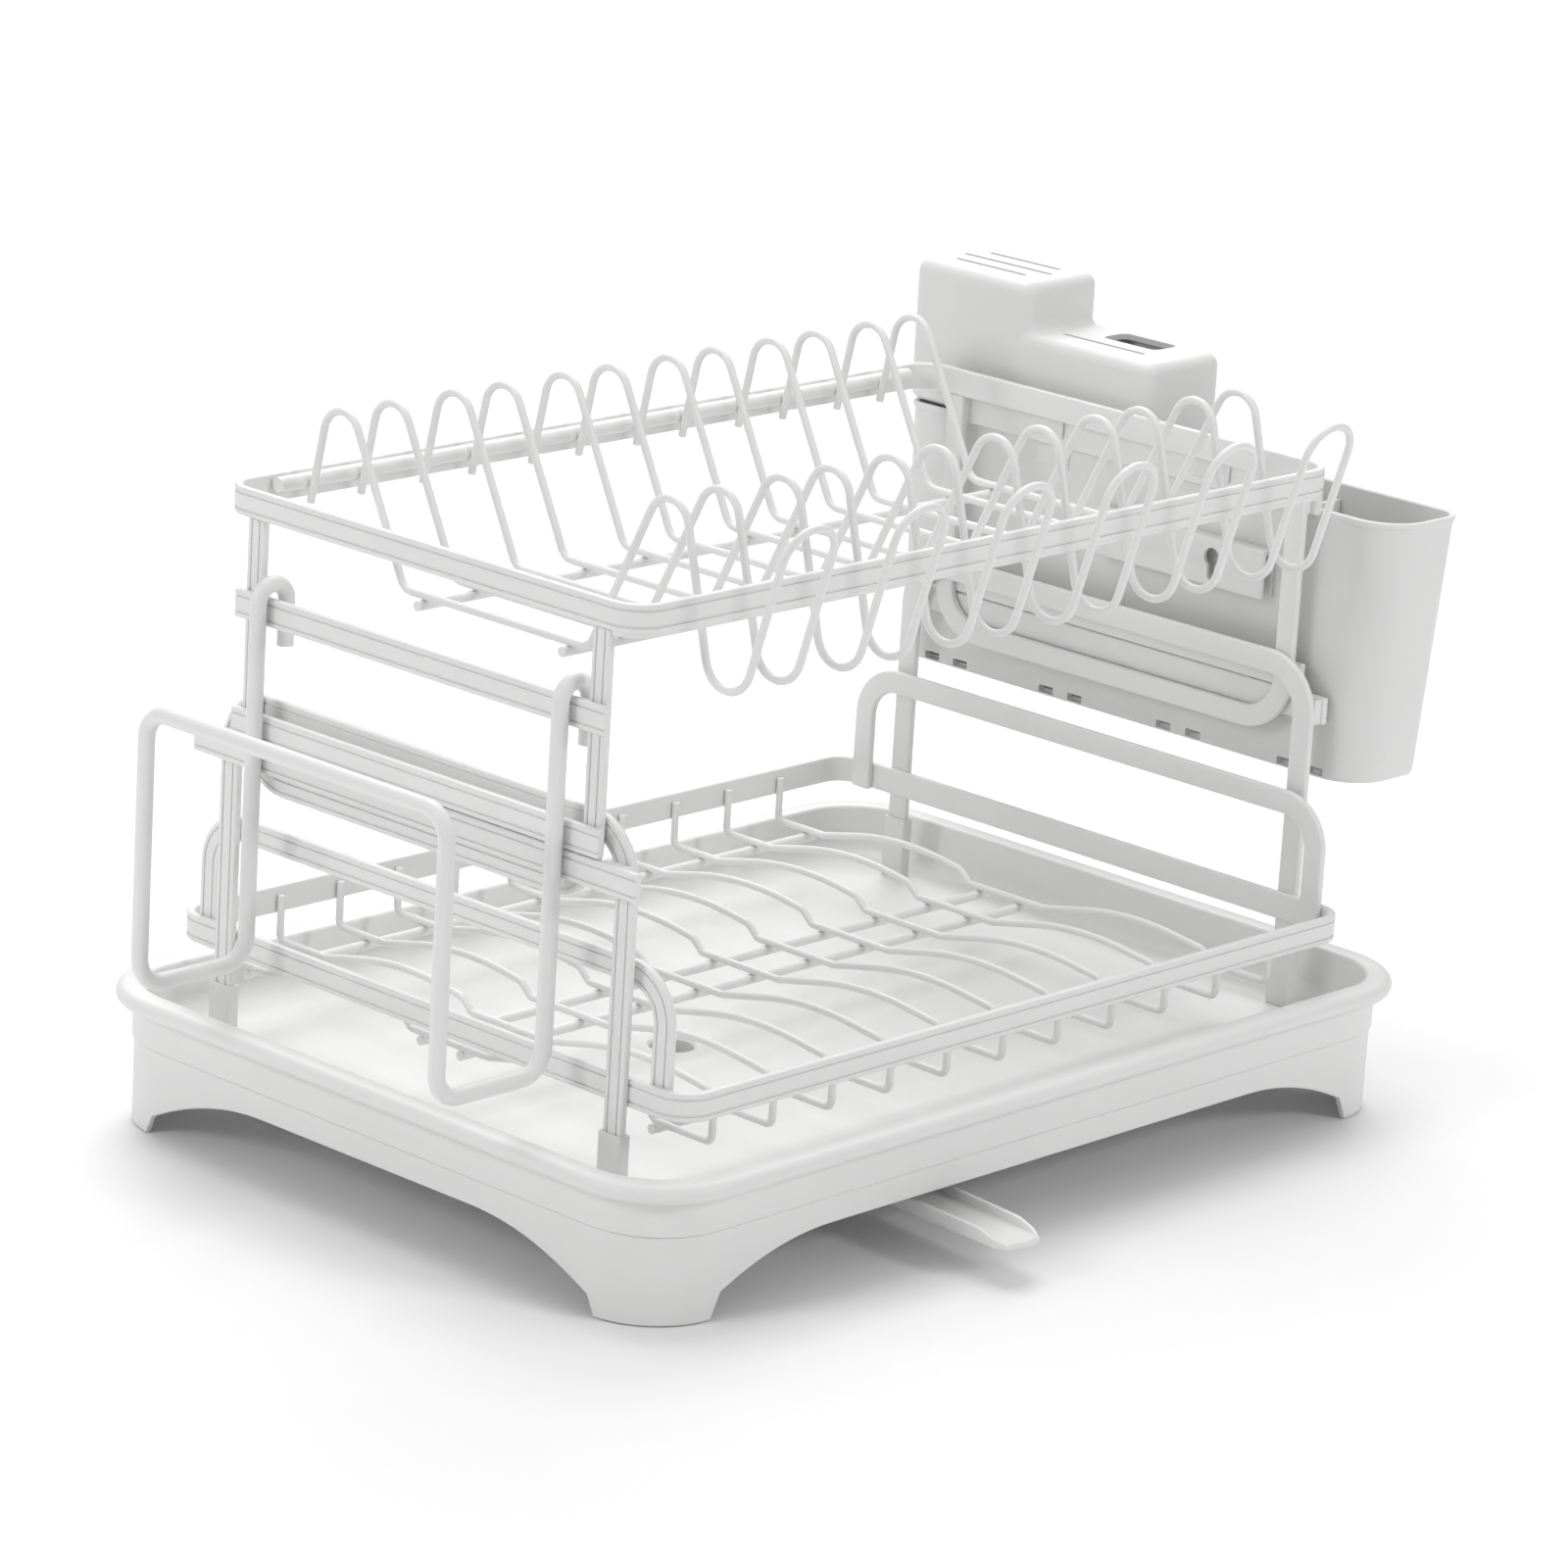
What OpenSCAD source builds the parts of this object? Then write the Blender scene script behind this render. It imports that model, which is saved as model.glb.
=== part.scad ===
// Two-tier dish drying rack with a drip tray, swivel spout, board hanger and utensil holder.
// Millimetres, +Z up, +X along the long side. The origin is on the counter,
// under the centre of the drip tray.

/* [Drip tray] */
// Outside length of the skirt
tray_length = 430; // [420:5:460]
// Outside depth of the skirt
tray_depth = 305.2; // [300:0.2:330]
// Height of the rounded lip above the counter
tray_height = 56; // [54:1:66]
// Height of the arched cut-outs between the four feet
arch_height = 23.7; // [22.8:0.1:26]
// Radius of the drain hole
drain_r = 9; // [7:0.5:10]

/* [Drain spout] */
// Turn of the spout from straight forwards, towards the left
spout_turn = 5; // [-8:0.2:20]
// Distance from the drain to the tip
spout_reach = 205; // [190:0.5:225]

/* [Flat bar] */
// Thickness of every flat bar
bar_t = 3.2; // [2.8:0.1:3.3]
// Width of the bent legs and guard loops
leg_w = 9.6; // [8:0.2:11]
// Width of the rims and crossbars
band_w = 11; // [9:0.5:12]

/* [Wires] */
// Number of wires across the lower tier
lower_wires = 11; // [11]
// Distance between two wires of the lower tier
lower_pitch = 31.6; // [29:0.2:32]
// Height of the floor wires' shallow bumps, before they are rounded
bump_rise = 9.8; // [7:0.2:10.4]
// Number of plate wires on the upper tier
upper_wires = 6; // [6]
// Distance between two plate wires
upper_pitch = 58.5; // [54:0.5:60]
// Distance between the two runs of one plate wire
pair_gap = 26; // [22:1:30]
// Radius of the plate wire
plate_wire_r = 1.6; // [1.2:0.1:1.7]

/* [Hung pieces] */
// Radius of the board hanger's wire
hanger_r = 3.3; // [2.8:0.1:3.4]
// How far the board hanger stands out from its uprights
hanger_reach = 53.4; // [40:0.2:70]
// Width of the utensil holder, away from the rack
holder_width = 46; // [40:1:60]
// Height of the utensil holder
holder_height = 110.5; // [90:0.5:112]

/* [Hidden] */
$fn = 48;
gap = 0.02;              // air left between two welded rounds

half_l = tray_length / 2;
half_d = tray_depth / 2;
tray_corner = 32;
tray_floor = 35;
floor_t = 2.5;
step_z = 34.3;
drain_x = -45;
drain_y = 7;
boss_r = 13;
boss_low = 18.4;
arch_r = 120;
arch_run = 95;

low_frame_x = 190.2;     // inner face of the lower legs
low_leg_y = 107.4;
low_top = 180.8;
cap_low = tray_floor;
low_rim_z = 72;
low_rim_y = 140.2;
guard_y = 124;
guard_top = 127;
low_floor = 60.8;
low_wire_r = 1.5;
low_rod_r = 2;
low_first = -169.5;
low_stub_y = low_rim_y - bar_t - low_wire_r - gap;
low_stub_top = 79.5;
rod_left = -170;
rod_right = 152;

up_frame_x = 193.9;      // inner face of the upper legs
up_leg_y = 92.7;
up_leg_w = 9;
up_low = 145;
up_rim_z = 249.5;
up_rim_y = 111.9;
up_rim_shift = 1.5;
up_floor = 226.5;
up_rod_r = 2;
spacer_t = 4.1;
hold_bar_z = 153.5;      // crossbar of the lower tier
stop_bar_z = 164.9;      // bar of the upper tier that lands on it
hang_bar_z = 211;
holder_bar_z = 237.5;
pad_t = 2;
back_rod_r = 3;

holder_x = 203;
holder_top = 239.5;
holder_low = holder_top - holder_height;
holder_front = -137;
holder_back = 130;
wall = 1.8;

// ---------- shared shapes ----------

// Flat bar section: width along x, thickness along y, two fine grooves on the outer face.
module bar_section(w) {
    edge = 0.8;
    groove_in = 2.4;
    difference() {
        union() {
            translate([-w / 2 + edge, 0]) square([w - 2 * edge, bar_t]);
            translate([-w / 2, edge]) square([w, bar_t - 2 * edge]);
            for (x = [-1, 1], y = [edge, bar_t - edge])
                translate([x * (w / 2 - edge), y]) circle(r = edge);
        }
        for (x = [-1, 1])
            translate([x * (w / 2 - groove_in) - 0.25, bar_t - 0.3]) square([0.5, 1]);
    }
}

// U of flat bar in the XY plane, open towards -Y, its outer face at z = bar_t.
module bar_loop(half, top, low, w, corner) {
    mid = corner - w / 2;
    for (s = [-1, 1])
        translate([s * half, top - corner, 0])
            rotate([90, 0, 0]) linear_extrude(top - corner - low) bar_section(w);
    translate([-half - w / 2 + corner, top - w / 2, 0])
        rotate([90, 0, 90]) linear_extrude(2 * half + w - 2 * corner) bar_section(w);
    for (s = [0, 1])
        mirror([s, 0, 0]) translate([half + w / 2 - corner, top - corner, 0])
            rotate_extrude(angle = 90) translate([mid, 0]) bar_section(w);
}

// Straight flat bar along the rack's depth, on the right side.
module cross_bar(x, z, half) {
    translate([x, -half, z + band_w / 2])
        rotate([90, 0, 90]) rotate([0, 90, 0]) rotate([0, 0, 90])
            linear_extrude(2 * half) bar_section(band_w);
}

// Stands a piece that was drawn in the XY plane up at the right side, outer face to +X.
module at_right(x) {
    translate([x, 0, 0]) rotate([90, 0, 90]) children();
}

// Sweeps a profile around a rounded rectangle. Profile x runs outwards, profile y runs up.
module around(half_x, half_y, corner) {
    for (i = [0:3]) {
        a = i % 2 == 0 ? half_x : half_y;
        b = i % 2 == 0 ? half_y : half_x;
        rotate([0, 0, 90 * i]) {
            translate([a, b - corner, 0])
                rotate([90, 0, 0]) linear_extrude(2 * (b - corner)) children();
            translate([a - corner, b - corner, 0])
                rotate_extrude(angle = 90) translate([corner, 0]) children();
        }
    }
}

function unit(v) = v / norm(v);
function turn_at(a, p, b) = acos(max(-1, min(1, unit(p - a) * unit(b - p))));
function trim_at(pts, bends, i) =
    i == 0 || i == len(pts) - 1 ? 0 : bends[i] * tan(turn_at(pts[i - 1], pts[i], pts[i + 1]) / 2);

// Straight round rod between two points.
module rod_between(a, b, r) {
    run = b - a;
    translate(a) rotate([0, acos(run[2] / norm(run)), atan2(run[1], run[0])])
        cylinder(h = norm(run), r = r);
}

// Round bend that joins the run a-p to the run p-b.
module bend_between(a, p, b, bend, r) {
    d1 = unit(p - a);
    d2 = unit(b - p);
    turn = turn_at(a, p, b);
    inward = unit(d2 - d1 * (d1 * d2));
    centre = p - d1 * bend * tan(turn / 2) + inward * bend;
    side = cross(-inward, d1);
    multmatrix([
        [-inward[0], d1[0], side[0], centre[0]],
        [-inward[1], d1[1], side[1], centre[1]],
        [-inward[2], d1[2], side[2], centre[2]],
        [0, 0, 0, 1]])
        rotate_extrude(angle = turn) translate([bend, 0]) circle(r = r);
}

// Wire through the corner points pts, each corner rounded to its radius in bends.
// A hair-thin ball covers every seam between a straight run and a bend. Without balls,
// the runs and bends stay separate lengths that meet end to end.
module bent_wire(pts, bends, r, balls = true) {
    last = len(pts) - 1;
    seam = balls ? 0.1 : 0.01;
    ball_r = r + 0.03;
    for (i = [0:last - 1]) {
        along = unit(pts[i + 1] - pts[i]);
        start = pts[i] + along * (i == 0 ? 0 : trim_at(pts, bends, i) + seam);
        end = pts[i + 1] - along * (i + 1 == last ? 0 : trim_at(pts, bends, i + 1) + seam);
        rod_between(start, end, r);
    }
    for (i = [1:last - 1]) {
        trim = trim_at(pts, bends, i);
        bend_between(pts[i - 1], pts[i], pts[i + 1], bends[i], r);
        if (balls) {
            translate(pts[i] - unit(pts[i] - pts[i - 1]) * trim) sphere(r = ball_r);
            translate(pts[i] + unit(pts[i + 1] - pts[i]) * trim) sphere(r = ball_r);
        }
    }
}

// ---------- drip tray and spout ----------

// Outline of one arched cut-out along a side of the given half length.
module arch_outline(half) {
    flat = half - arch_run;
    centre_z = arch_height - arch_r;
    difference() {
        union() {
            translate([-flat, -2]) square([2 * flat, arch_height + 2]);
            for (s = [-1, 1])
                translate([s * flat, centre_z]) circle(r = arch_r, $fn = 180);
        }
        translate([-half - arch_r, centre_z - arch_r - 1])
            square([2 * (half + arch_r), arch_r - centre_z]);
    }
}

module tray_profile() {
    lip_out = 7.7;
    lip_low = 48.6;
    bead = 3.7;
    translate([-floor_t, 0]) square([floor_t, step_z + 1]);
    translate([-3.5, tray_floor - floor_t]) square([4.4, tray_height - bead - tray_floor + floor_t]);
    translate([-3.5, step_z]) square([4.4, tray_height - bead - step_z]);
    translate([-1, lip_low]) square([lip_out - bead + 1, tray_height - lip_low]);
    translate([lip_out - bead, tray_height - bead]) circle(r = bead);
    translate([-2.1, lip_low]) square([3, tray_height - lip_low]);
    translate([-2.1, tray_height - 1.4]) circle(r = 1.4);
    translate([-3.5, lip_low]) square([1.5, tray_height - 1.4 - lip_low]);
}

module drip_tray() {
    color([0.93, 0.93, 0.93]) difference() {
        union() {
            around(half_l, half_d, tray_corner) tray_profile();
            translate([0, 0, tray_floor - floor_t]) linear_extrude(floor_t) {
                square([2 * (half_l - tray_corner), 2 * half_d - 4], center = true);
                square([2 * half_l - 4, 2 * (half_d - tray_corner)], center = true);
                for (x = [-1, 1], y = [-1, 1])
                    translate([x * (half_l - tray_corner), y * (half_d - tray_corner)])
                        circle(r = tray_corner - 2);
            }
        }
        translate([0, half_d + 20, 0]) rotate([90, 0, 0])
            linear_extrude(tray_depth + 40) arch_outline(half_l);
        translate([-half_l - 20, 0, 0]) rotate([90, 0, 90])
            linear_extrude(tray_length + 40) arch_outline(half_d);
        translate([drain_x, drain_y, 10]) cylinder(h = 40, r = drain_r);
    }
    color([0.93, 0.93, 0.93]) difference() {
        union() {
            translate([drain_x, drain_y, boss_low])
                cylinder(h = tray_floor - floor_t - boss_low + 1, r = boss_r);
            translate([drain_x, drain_y, boss_low]) cylinder(h = 2, r = boss_r + 1.6);
        }
        translate([drain_x, drain_y, 10]) cylinder(h = 40, r = drain_r);
    }
}

// Channel that turns about the drain boss, held by the boss's snap lip.
module drain_spout() {
    hub_r = 17.5;
    root_half = 15.5;
    tip_half = 10.9;
    low = 14;
    sheet = 1.8;
    top = 20.2;
    hub_top = tray_floor - floor_t - 0.5;
    color([0.93, 0.93, 0.93])
        translate([drain_x, drain_y, 0]) rotate([0, 0, -spout_turn]) difference() {
            union() {
                translate([0, 0, low]) cylinder(h = hub_top - low, r = hub_r);
                translate([0, 0, low]) linear_extrude(top - low)
                    polygon([[-root_half, 0], [-tip_half, 6 - spout_reach], [-tip_half + 2.4, -spout_reach],
                        [tip_half - 2.4, -spout_reach], [tip_half, 6 - spout_reach], [root_half, 0]]);
            }
            translate([0, 0, low + sheet]) linear_extrude(40)
                polygon([[sheet - root_half, -hub_r], [sheet - tip_half, -spout_reach - 1],
                    [tip_half - sheet, -spout_reach - 1], [root_half - sheet, -hub_r]]);
            // way out for the water, and room for the boss and its lip
            translate([-9, -hub_r - 2, low + sheet]) cube([18, hub_r, 4]);
            translate([0, 0, low + sheet]) cylinder(h = boss_low + 2.4 - low - sheet, r = boss_r + 2);
            translate([0, 0, low + sheet]) cylinder(h = 40, r = boss_r + 0.06);
            // the side walls run down over the last stretch, towards the tip
            translate([-30, -spout_reach - 1, low + sheet + 0.4]) rotate([16, 0, 0]) cube([60, 46, 30]);
        }
}

// ---------- lower tier ----------

module lower_frame() {
    color([0.95, 0.95, 0.95]) at_right(low_frame_x)
        bar_loop(low_leg_y, low_top, cap_low + 3, leg_w, 24);
}

// Push-on foot with a pocket for the leg.
module foot_cap() {
    cap_y = leg_w + 2.2;
    cap_x = bar_t + 2.4;
    color([0.93, 0.93, 0.93])
        translate([low_frame_x + bar_t / 2, low_leg_y, cap_low]) difference() {
            linear_extrude(26.5) {
                square([cap_x - 2, cap_y], center = true);
                square([cap_x, cap_y - 2], center = true);
                for (x = [-1, 1], y = [-1, 1])
                    translate([x * (cap_x / 2 - 1), y * (cap_y / 2 - 1)]) circle(r = 1);
            }
            translate([-bar_t / 2 - 0.04, -leg_w / 2 - 0.04, 3])
                cube([bar_t + 0.08, leg_w + 0.08, 40]);
        }
}

module rim_profile(z) {
    translate([-bar_t, z + band_w / 2]) rotate([0, 0, -90]) bar_section(band_w);
}

module lower_rim() {
    color([0.95, 0.95, 0.95])
        around(low_frame_x, low_rim_y, 13) rim_profile(low_rim_z);
}

module guard_loop() {
    color([0.95, 0.95, 0.95]) at_right(low_frame_x - 2 * bar_t)
        bar_loop(guard_y, guard_top, low_rim_z, leg_w, 22);
}

// One crosswise wire: upturned ends at the rim and two bumps, steep in front and low behind.
module lower_wire(i) {
    x = low_first + lower_pitch * (i - 1);
    top = low_floor + bump_rise;
    pts = [
        [x, low_stub_y, low_stub_top], [x, low_stub_y, low_floor],
        [x, 108, low_floor], [x, 66, top], [x, 30.5, low_floor + 4.8], [x, 25, low_floor],
        [x, -17, low_floor], [x, -62, top], [x, -101.5, low_floor + 4.8], [x, -107, low_floor],
        [x, -low_stub_y, low_floor], [x, -low_stub_y, low_stub_top]];
    bends = [0, 3, 8, 140, 5, 2.5, 8, 140, 5, 2.5, 3, 0];
    color([0.95, 0.95, 0.95]) bent_wire(pts, bends, low_wire_r, balls = false);
}

// Long rod under the crosswise wires.
module lower_rod(i) {
    y = [-105, -2.5, 19.5, 119][i - 1];
    color([0.95, 0.95, 0.95])
        translate([rod_left, y, low_floor - low_wire_r - low_rod_r - gap])
            rotate([0, 90, 0]) cylinder(h = rod_right - rod_left, r = low_rod_r);
}

module lower_crossbar() {
    color([0.95, 0.95, 0.95]) cross_bar(low_frame_x + bar_t + spacer_t, hold_bar_z, 120);
}

// Blocks that hold the crossbar off the legs and leave a slot for the upper frame.
module slide_spacers() {
    color([0.95, 0.95, 0.95])
        for (s = [-1, 1])
            translate([low_frame_x + bar_t, s * low_leg_y - leg_w / 2 + 0.5, hold_bar_z + 0.5])
                cube([spacer_t, leg_w - 1, band_w - 1]);
}

// ---------- upper tier ----------

module upper_rim() {
    color([0.95, 0.95, 0.95])
        translate([0, up_rim_shift, 0])
            around(up_frame_x + bar_t, up_rim_y, 13) rim_profile(up_rim_z);
}

// Thin rail under the front of the rim, bent back to the front legs.
module front_rail() {
    deep = 1.6;
    thick = 2.4;
    inset = 0.8;
    half = up_frame_x + bar_t - inset;
    front = up_rim_y - up_rim_shift - inset;
    corner = 13 - inset;
    back = up_leg_y + up_leg_w / 2 + 0.3;
    color([0.95, 0.95, 0.95]) translate([0, 0, up_rim_z - deep]) {
        translate([corner - half, -front, 0]) cube([2 * (half - corner), thick, deep]);
        for (s = [0, 1])
            mirror([s, 0, 0]) {
                translate([half - corner, corner - front, 0]) rotate([0, 0, -90])
                    rotate_extrude(angle = 90) translate([corner - thick, 0]) square([thick, deep]);
                if (front - corner > back)
                    translate([half - thick, corner - front, 0])
                        cube([thick, front - corner - back, deep]);
            }
    }
}

module upper_frame() {
    color([0.95, 0.95, 0.95]) at_right(up_frame_x)
        translate([0, up_low + up_rim_z, 0]) mirror([0, 1, 0])
            bar_loop(up_leg_y, up_rim_z, up_low, up_leg_w, 24);
}

module stop_bar() {
    color([0.95, 0.95, 0.95]) cross_bar(up_frame_x + bar_t, stop_bar_z, 99.8);
}

module hanger_bar() {
    color([0.95, 0.95, 0.95])
        mirror([1, 0, 0]) cross_bar(up_frame_x + bar_t, hang_bar_z, 99.8);
}

module holder_bar() {
    color([0.95, 0.95, 0.95]) cross_bar(up_frame_x + bar_t + pad_t, holder_bar_z, 99.8);
}

// Pads that hold the holder bar off the legs, so that the hooks can pass behind it.
module holder_bar_pads() {
    color([0.95, 0.95, 0.95])
        for (s = [-1, 1])
            translate([up_frame_x + bar_t, s * up_leg_y - up_leg_w / 2 + 0.5, holder_bar_z + 0.5])
                cube([pad_t, up_leg_w - 1, band_w - 1]);
}

// One plate wire: two runs with a tall loop behind, an arch and a hook in front,
// joined by the outer arch.
module plate_wire(i) {
    x = upper_pitch * (i - 1 - (upper_wires - 1) / 2);
    run = [[104.1, 249], [92.2, 307.2], [50.3, up_floor], [-49.5, up_floor],
        [-89.6, 310], [-119.5, 194.8], [-147.3, 290.5]];
    bends = [0, 10, 7, 7, 10.2, 11.4, pair_gap / 2 - 1];
    left = [for (p = run) [x - pair_gap / 2, p[0], p[1]]];
    right = [for (k = [6:-1:0]) [x + pair_gap / 2, run[k][0], run[k][1]]];
    color([0.95, 0.95, 0.95])
        bent_wire(concat(left, right), concat(bends, [for (k = [6:-1:0]) bends[k]]), plate_wire_r,
            balls = false);
}

module back_rod() {
    color([0.95, 0.95, 0.95])
        translate([-174, up_rim_y + up_rim_shift - bar_t - back_rod_r - 0.05, 257])
            rotate([0, 90, 0]) cylinder(h = 353, r = back_rod_r);
}

module upper_floor_rod(side) {
    color([0.95, 0.95, 0.95])
        translate([-163, side * 39, up_floor - plate_wire_r - up_rod_r - gap])
            rotate([0, 90, 0]) cylinder(h = 326, r = up_rod_r);
}

// ---------- hung pieces ----------

// One bent wire that hooks over the left bar and stands out to hold boards upright.
module board_hanger() {
    hook_top = 227.3;
    hook_x = -190.3;
    up_x = -204.6;
    out_x = up_x - hanger_reach;
    half = 81.5;
    low = 79.5;
    high = 187.8;
    tip = 202.4;
    side = [
        [hook_x, half, tip], [hook_x, half, hook_top], [up_x, half, hook_top],
        [up_x, half, low], [out_x, half, low], [out_x, half, high]];
    bends = [0, 7.1, 7.1, 11, 11, 11];
    other = [for (k = [5:-1:0]) [side[k][0], -side[k][1], side[k][2]]];
    color([0.95, 0.95, 0.95])
        bent_wire(concat(side, other), concat(bends, [for (k = [5:-1:0]) bends[k]]), hanger_r,
            balls = false);
}

// Rounded outline of the holder, drawn inwards by the given amount.
module holder_outline(inset) {
    x0 = holder_x + inset;
    x1 = holder_x + holder_width - inset;
    y0 = holder_front + inset;
    y1 = holder_back - inset;
    big = 20 - inset;
    small = 10 - inset;
    translate([x0 + big, y0 + big]) circle(r = big);
    translate([x1 - small, y0 + small]) circle(r = small);
    translate([x0 + small, y1 - small]) circle(r = small);
    translate([x1 - small, y1 - small]) circle(r = small);
    translate([x0 + big, y0]) square([x1 - small - x0 - big, 20]);
    translate([x0, y0 + big]) square([20, y1 - small - y0 - big]);
    translate([x0 + small, y0 + big]) square([x1 - x0 - 2 * small, y1 - y0 - big]);
    translate([x1 - 12, y0 + small]) square([12, y1 - y0 - 2 * small]);
}

// Deep cup with a rolled rim and two hooks that drop over the holder bar.
module utensil_holder() {
    hook_w = 18;
    hook_top = holder_bar_z + band_w + 1.9;
    color([0.93, 0.93, 0.93]) {
        difference() {
            union() {
                translate([0, 0, holder_low]) linear_extrude(holder_height) holder_outline(0.8);
                translate([0, 0, holder_top - 2.4]) linear_extrude(2.4) holder_outline(0);
            }
            translate([0, 0, holder_low + 2]) linear_extrude(holder_height) holder_outline(0.8 + wall);
            // drain notches along the foot of the inner wall
            for (y = [-98:65:97], side = [-1, 1])
                translate([holder_x - 1, y + side * 8 - 4, holder_low + 1.2]) cube([4, 8, 3]);
        }
        for (y = [-45, 45]) {
            translate([holder_x, y - hook_w / 2, holder_top - 12])
                cube([wall, hook_w, hook_top - holder_top + 12]);
            translate([197.5, y - hook_w / 2, hook_top - 1.6]) cube([7, hook_w, 1.6]);
            translate([197.5, y - hook_w / 2, hook_top - 9]) cube([1.4, hook_w, 9]);
        }
    }
}

// Partition near the front of the holder.
module holder_divider() {
    color([0.93, 0.93, 0.93])
        translate([holder_x + 0.8 + wall + 0.05, -75, holder_low + 2.05])
            cube([holder_width - 1.6 - 2 * wall - 0.1, 1.8, 102]);
}

// Channel on the inner wall with a keyhole slot.
module holder_bracket() {
    low = 198;
    tall = 20;
    front = -77;
    long = 90;
    face_x = 196;
    color([0.93, 0.93, 0.93]) difference() {
        translate([face_x, front, low]) cube([holder_x + 0.8 - face_x - 0.05, long, tall]);
        translate([face_x + 1.6, front - 1, low - 1]) cube([4.4, long + 2, tall - 0.6]);
        translate([face_x - 1, -50, 210]) rotate([0, 90, 0]) cylinder(h = 4, r = 4);
        translate([face_x - 1, -51.6, 202]) cube([4, 3.2, 8]);
        translate([face_x - 1, -50, 202]) rotate([0, 90, 0]) cylinder(h = 4, r = 1.6);
    }
}

// Stepped block with knife slots and a scissors opening, its neck standing in the holder.
module knife_block() {
    step_y = 64.5;
    low_top = 280;
    high_top = 301;
    color([0.93, 0.93, 0.93]) difference() {
        union() {
            translate([0, 0, holder_top + 0.2]) linear_extrude(low_top - holder_top - 0.2)
                block_outline(-5, 129);
            translate([0, 0, holder_top + 0.2]) linear_extrude(high_top - holder_top - 0.2)
                block_outline(step_y, 129);
            translate([0, 0, 222]) linear_extrude(holder_top - 222 + 1)
                translate([holder_x + 3.2, -1]) square([holder_width - 6.4, 120]);
        }
        translate([holder_x + 5, 3, 210]) cube([holder_width - 10, 58, low_top - 210 - 2.4]);
        translate([holder_x + 5, step_y + 3, 210])
            cube([holder_width - 10, 119 - step_y - 6, high_top - 210 - 2.4]);
        for (k = [0:2])
            translate([216.4 + k * 10.8 - 1.1, 97.6 - [19.5, 24.5, 19.5][k], high_top - 5])
                cube([2.2, [39, 49, 39][k], 10]);
        translate([216.5, 11.5, low_top - 5]) cube([2.2, 44.5, 10]);
        translate([227, 14, low_top - 5]) cube([15, 29, 10]);
        // recess that clears the back hook
        translate([holder_x - 1, 34, holder_top - 1]) cube([3.4, 22, 13]);
    }
}

module block_outline(y0, y1) {
    round_r = 6;
    x1 = holder_x + holder_width;
    for (x = [holder_x + round_r, x1 - round_r], y = [y0 + round_r, y1 - round_r])
        translate([x, y]) circle(r = round_r);
    translate([holder_x + round_r, y0]) square([holder_width - 2 * round_r, y1 - y0]);
    translate([holder_x, y0 + round_r]) square([holder_width, y1 - y0 - 2 * round_r]);
}

// ---------- the rack ----------

module left() {
    mirror([1, 0, 0]) children();
}

module front() {
    mirror([0, 1, 0]) children();
}

drip_tray();
drain_spout();
left() lower_frame();  // lower_frame_left
lower_frame();  // lower_frame_right
left() front() foot_cap();  // foot_cap_front_left
front() foot_cap();  // foot_cap_front_right
left() foot_cap();  // foot_cap_back_left
foot_cap();  // foot_cap_back_right
lower_rim();
left() guard_loop();  // guard_loop_left
guard_loop();  // guard_loop_right
lower_wire(1);  // lower_wire_1
lower_wire(2);  // lower_wire_2
lower_wire(3);  // lower_wire_3
lower_wire(4);  // lower_wire_4
lower_wire(5);  // lower_wire_5
lower_wire(6);  // lower_wire_6
lower_wire(7);  // lower_wire_7
lower_wire(8);  // lower_wire_8
lower_wire(9);  // lower_wire_9
lower_wire(10);  // lower_wire_10
lower_wire(11);  // lower_wire_11
lower_rod(1);  // lower_rod_1
lower_rod(2);  // lower_rod_2
lower_rod(3);  // lower_rod_3
lower_rod(4);  // lower_rod_4
left() lower_crossbar();  // lower_crossbar_left
lower_crossbar();  // lower_crossbar_right
left() slide_spacers();  // slide_spacers_left
slide_spacers();  // slide_spacers_right
upper_rim();
front_rail();
left() upper_frame();  // upper_frame_left
upper_frame();  // upper_frame_right
left() stop_bar();  // stop_bar_left
stop_bar();  // stop_bar_right
hanger_bar();
holder_bar();
holder_bar_pads();
plate_wire(1);  // plate_wire_1
plate_wire(2);  // plate_wire_2
plate_wire(3);  // plate_wire_3
plate_wire(4);  // plate_wire_4
plate_wire(5);  // plate_wire_5
plate_wire(6);  // plate_wire_6
back_rod();
upper_floor_rod(-1);  // upper_floor_rod_front
upper_floor_rod(1);  // upper_floor_rod_back
board_hanger();
utensil_holder();
holder_divider();
holder_bracket();
knife_block();
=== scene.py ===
import math

import bmesh
import bpy
from mathutils import Matrix, Vector


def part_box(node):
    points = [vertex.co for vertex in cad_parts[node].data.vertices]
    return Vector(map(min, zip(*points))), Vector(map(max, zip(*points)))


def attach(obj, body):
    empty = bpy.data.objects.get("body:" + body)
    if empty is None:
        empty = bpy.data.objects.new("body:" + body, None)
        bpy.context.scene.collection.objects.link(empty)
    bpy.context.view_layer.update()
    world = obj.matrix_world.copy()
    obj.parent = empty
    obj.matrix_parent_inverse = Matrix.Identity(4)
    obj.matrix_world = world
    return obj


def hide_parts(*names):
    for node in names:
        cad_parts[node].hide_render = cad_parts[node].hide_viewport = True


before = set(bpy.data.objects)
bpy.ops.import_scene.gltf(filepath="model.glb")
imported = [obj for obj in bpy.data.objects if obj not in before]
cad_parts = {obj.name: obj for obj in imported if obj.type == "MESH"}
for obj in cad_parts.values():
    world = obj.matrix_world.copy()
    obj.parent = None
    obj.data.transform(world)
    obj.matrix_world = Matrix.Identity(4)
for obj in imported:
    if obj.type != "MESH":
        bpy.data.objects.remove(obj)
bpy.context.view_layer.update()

# Coated steel: the wires, legs and bars are mild steel with a baked powder coat in warm white.
# The coat is satin, with the faint orange-peel waviness that a sprayed powder keeps.


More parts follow.
